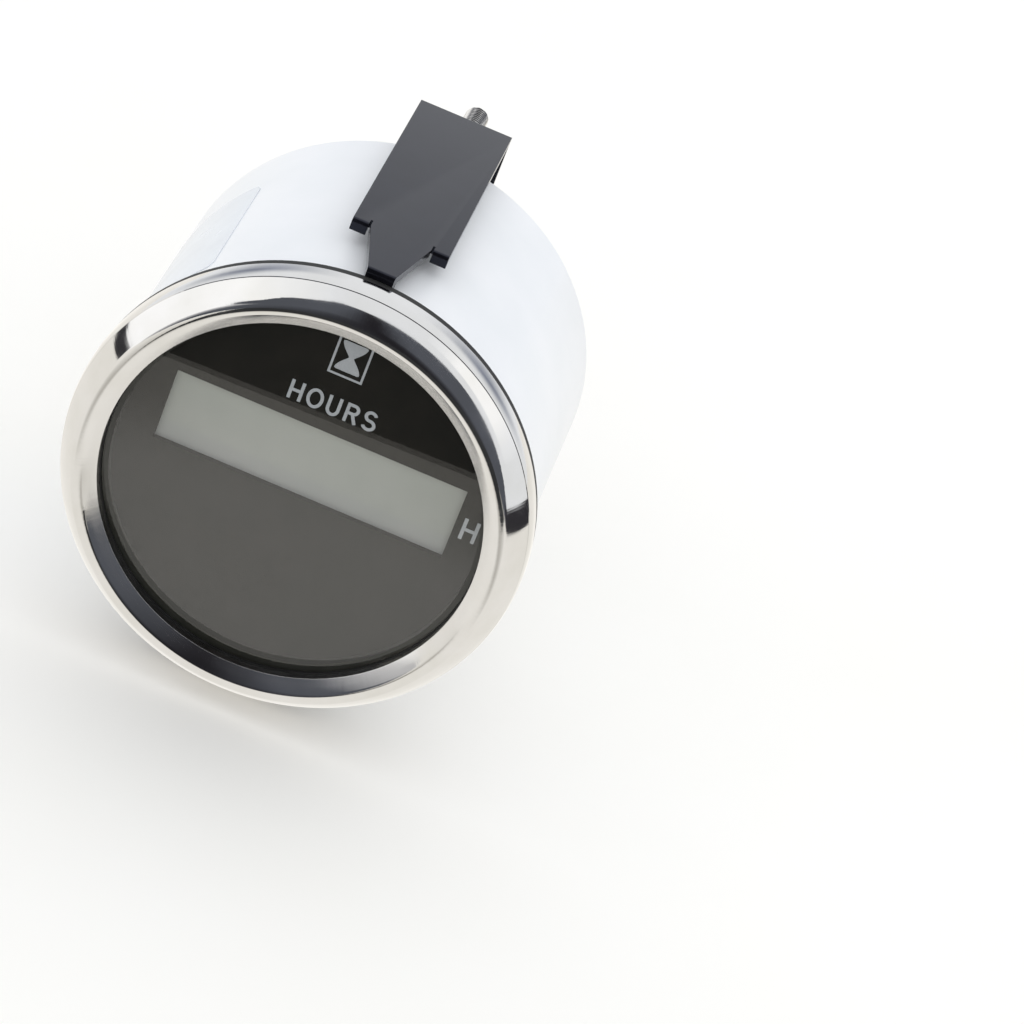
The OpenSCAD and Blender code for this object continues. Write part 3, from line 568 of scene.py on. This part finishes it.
strokes = []
for letter, left, right in p["word"]:
    strokes += letterMeshes(letter, left, right, p["low"], p["high"], p["pen"], p["over"])
strokes += letterMeshes(*p["unit"], p["unitLow"], p["unitHigh"], p["unitPen"], p["over"])

# sign of an hourglass: half-width grows from the waist as a power of the sine of the distance from it
s = np.linspace(-1, 1, p["glassSteps"])[:, None]
side = np.array([-1, 1, 1, -1])[None, :]
half = p["waistX"] + (p["glassX"] - p["waistX"]) * np.sin(np.abs(s) * np.pi / 2) ** p["bulge"]
# rounded feet
half = half - p["foot"] * np.clip((np.abs(s) - p["footFrom"]) / (1 - p["footFrom"]), 0, 1) ** 2
y = p["face"] - p["thick"] * np.array([0, 0, 1, 1])[None, :]
z = (p["glassLow"] + p["glassHigh"]) / 2 + s * (p["glassHigh"] - p["glassLow"]) / 2
glass = np.stack([p["glassAt"] + side * half, y + 0 * s, z + 0 * side], -1)
ends = glass.mean(1, keepdims=True)
glass = np.concatenate([np.repeat(ends[:1], 4, 1), glass, np.repeat(ends[-1:], 4, 1)])
strokes.append(gridMesh("stroke", glass, False, True))

# its frame: a square line, four corners by a flat band's section
cx, cz = np.array([-1, 1, 1, -1])[:, None], np.array([-1, -1, 1, 1])[:, None]
inset = np.array([0, 1, 1, 0])[None, :] * p["line"]
mid = (p["frameLow"] + p["frameHigh"]) / 2
tall = (p["frameHigh"] - p["frameLow"]) / 2
edge = np.stack([p["frameAt"] + cx * (p["frameX"] - inset), y + 0 * cx, mid + cz * (tall - inset)], -1)
strokes.append(gridMesh("stroke", edge, True, True))
addPiece("dial_print", joinedMesh("dial_print", strokes), silverInk, "meter")
print("dial print made")

# studio: pale floor in even light; the cards that the bright parts mirror are seen in reflections only
studio = dict(floorZ=-28.55, floorSize=1500, glow="#FAFCFF", glowLevel=1.1, boxLevel=1.36, clothLevel=0.05)


def stageCard(name, points, finish, mirroredOnly=True):
    # a surface round the part that is no piece of it
    card = bpy.data.objects.new(name, gridMesh(name, points))
    bpy.context.scene.collection.objects.link(card)
    card.data.materials.append(finish)
    if mirroredOnly:
        card.visible_camera = card.visible_diffuse = card.visible_shadow = False
    return card


def glowFinish(name, level, **values):
    # a surface that only glows, so it looks the same from anywhere
    return newFinish(name, Base_Color=linear("#000000"), Specular_IOR_Level=0.0, Emission_Strength=level,
                     **values)


def softCard(name, points, centreCode, edgeCode, level, share):
    # a glowing card whose colour runs from one to the other by a share worked out from bearing and height
    finish, tree, shader, place = glowFinish(name, level)
    fade = addNode(tree, "ShaderNodeAttribute", attribute_name="fade")
    tint = addNode(tree, "ShaderNodeValToRGB", {"Fac": fade.outputs["Fac"]},
                   stops=[(0.0, linear(edgeCode)), (1.0, linear(centreCode))])
    tree.links.new(tint.outputs["Color"], shader.inputs["Emission Color"])
    card = stageCard(name, points, finish)
    x, y, z = vertexPlaces(card.data).T
    bearing, height = np.degrees(np.arctan2(x, -y)), np.degrees(np.arctan2(z, np.hypot(x, y)))
    vertexValue(card.data, "fade", share(bearing, height))


def skyPatch(r, left, right, low, high, wide=24, tall=12):
    # a patch of a sphere: bearing from the front towards +X by height, both in degrees; either side may lean
    v = np.linspace(low, high, tall)[:, None]
    left, right = (side(v) if callable(side) else side for side in (left, right))
    u = np.radians(left + (right - left) * np.linspace(0, 1, wide)[None, :])
    v = np.radians(v)
    return r * np.stack([np.sin(u) * np.cos(v), -np.cos(u) * np.cos(v), np.sin(v) + 0 * u], -1)


def ramp(v, start, end):
    # 0 up to the start, 1 from the end on
    return np.clip((v - start) / (end - start), 0, 1)


def hump(v, low, high):
    # 0 at both ends, 1 half way
    return np.sin(np.pi * ramp(v, low, high)) ** 2


def plateau(v, low, high, gain=1.6):
    # a hump made higher and cut off flat at 1
    return np.minimum(1, gain * hump(v, low, high))


# white paper, slightly fibrous
paleFloor, tree, shader, place = newFinish("pale_paper", Roughness=0.9, Specular_IOR_Level=0.1)
fibre = addNode(tree, "ShaderNodeTexNoise", {"Vector": place, "Scale": 1 / (40 * mm), "Detail": 3.0})
tint = addNode(tree, "ShaderNodeValToRGB", {"Fac": fibre.outputs["Fac"]},
               stops=[(0.3, linear("#FBF9F4")), (0.7, linear("#FCFAF6"))])
tree.links.new(tint.outputs["Color"], shader.inputs["Base Color"])
z, w = studio["floorZ"], studio["floorSize"]
stageCard("floor", np.array([[(-w, -w, z), (w, -w, z)], [(-w, w, z), (w, w, z)]], float), paleFloor, False)

# a dark mat lies in front: its near edge, and the run of its sides as shares of the floor's size
darkMat = dict(left=(-28.0, -73.85), right=(17.0, -75.8), leftRun=(-0.35, -0.94), rightRun=(0.91, -0.415),
               lift=0.2)
nearEdge = np.array([darkMat["left"], darkMat["right"]])
farEdge = nearEdge + w * np.array([darkMat["leftRun"], darkMat["rightRun"]])
matCorners = np.stack([nearEdge, farEdge])
stageCard("dark_floor", np.concatenate([matCorners, np.full((2, 2, 1), z + darkMat["lift"])], -1),
          glowFinish("dark_mat", studio["clothLevel"], Emission_Color=linear("#EDF0F6"))[0])

# the mirrored floor: rings about the upright, bright close by, dimmer towards the mat, bright again far off
nearFloor = dict(rFrom=1, rTo=600, rings=60, steps=73, lift=0.1, level=1.08, heights=[-28, -21.5, -13, -4],
                 shares=[1, 0, 0.5, 1], sideFrom=30, sideTo=55)


def floorShare(u, v):
    ahead = np.interp(v, nearFloor["heights"], nearFloor["shares"])
    return np.maximum(ahead, ramp(abs(u), nearFloor["sideFrom"], nearFloor["sideTo"]))


ring = np.geomspace(nearFloor["rFrom"], nearFloor["rTo"], nearFloor["rings"])[:, None]
a = np.linspace(0, 2 * np.pi, nearFloor["steps"])[None, :]
floorLevel = z + nearFloor["lift"] + 0 * ring * a
softCard("near_floor", np.stack([ring * np.sin(a), -ring * np.cos(a), floorLevel], -1), "#FFFCF6",
         "#C6C3BC", nearFloor["level"], floorShare)

# a dark drape in front, its edge in one plane; the folds at both ends catch light
drape = dict(r=900, plane=0.18, low=-3, high=79.6, wide=48, tall=40, middle="#29282C", sides="#5F626A",
             middleFrom=-36, middleTo=48)


def drapeEdge(v):
    # bearing where the drape ends: the arc cosine of its plane's share of the radius at that height
    return np.degrees(np.arccos(np.clip(drape["plane"] / np.cos(np.radians(v)), 0, 1)))


softCard("front_drape",
         skyPatch(drape["r"], lambda v: -drapeEdge(v), drapeEdge, drape["low"], drape["high"], drape["wide"],
                  drape["tall"]),
         drape["middle"], drape["sides"], 1.0, lambda u, v: hump(u, drape["middleFrom"], drape["middleTo"]))
softCard("left_fold", skyPatch(r=590, left=-58, right=-40, low=-2.5, high=34), "#DADADC", drape["sides"],
         1.0, lambda u, v: ramp(u, -40, -53))
softCard("right_hem", skyPatch(r=220, left=36, right=62, low=-7.2, high=3), "#C9C6BF", drape["sides"],
         1.0, lambda u, v: ramp(v, -3.5, -7.2))

# soft boxes to both sides, with the height and bearing of points along the left one's edge
boxEdge = [(-3, -58), (8, -57), (14, -50), (30, -50), (37, -70), (46, -65), (56, -64), (65, -57), (74, -50)]


def boxRight(v):
    return np.interp(v, *np.array(boxEdge).T)


softCard("left_box", skyPatch(r=600, left=-118, right=boxRight, low=-2.7, high=74, tall=40), "#FFFFFF",
         "#E8EAED", studio["boxLevel"], lambda u, v: 1 - ramp(v, 45, 74))
softCard("right_box", skyPatch(r=600, left=84, right=124, low=16, high=68), "#FFFFFF",
         "#E8EAED", studio["boxLevel"], lambda u, v: plateau(u, 70, 124) * plateau(v, 16, 68))

# dark strips along the horizon, and a greyer sky low down behind
darkCloth = glowFinish("dark_cloth", studio["clothLevel"], Emission_Color=linear("#E6E2F0"))[0]
stageCard("left_horizon", skyPatch(r=220, left=-116, right=-80, low=-5, high=0.5), darkCloth)
stageCard("right_horizon", skyPatch(r=220, left=62, right=114, low=-7, high=1.5), darkCloth)
for name, left, right in (("left_slate", -174, -124), ("right_slate", 124, 174)):
    softCard(name, skyPatch(800, left, right, low=-2, high=36), "#8E94A4", studio["glow"],
             studio["glowLevel"], lambda u, v: hump(u, left, right) * hump(v, -2, 36))

world = bpy.data.worlds.new("studio")
bpy.context.scene.world = world
world.use_nodes = True
tree = world.node_tree
tree.nodes.clear()
sky = addNode(tree, "ShaderNodeBackground", {"Color": linear(studio["glow"]),
                                             "Strength": studio["glowLevel"]})
addNode(tree, "ShaderNodeOutputWorld", {"Surface": sky.outputs[0]})
print("studio made")

# camera fitted to the circles of the bezel, glass and barrel
shot = dict(at=(27.689492, -445.271339, 257.636893), lens=158.6388, sensor=36, nearest=0.01,
            right=(0.921338, 0.197183, 0.335045), up=(-0.388678, 0.449231, 0.804438),
            ahead=(-0.008109, 0.871384, -0.490535))
lensData = bpy.data.cameras.new("camera")
lensData.sensor_width = shot["sensor"]
lensData.lens = shot["lens"]
lensData.clip_start = shot["nearest"]
camera = bpy.data.objects.new("camera", lensData)
turn = Matrix([shot["right"], shot["up"], [-v for v in shot["ahead"]]]).transposed()
camera.matrix_world = Matrix.Translation([v * mm for v in shot["at"]]) @ turn.to_4x4()
bpy.context.scene.collection.objects.link(camera)
bpy.context.scene.camera = camera
bpy.context.scene.view_settings.view_transform = "Standard"
print("camera set")
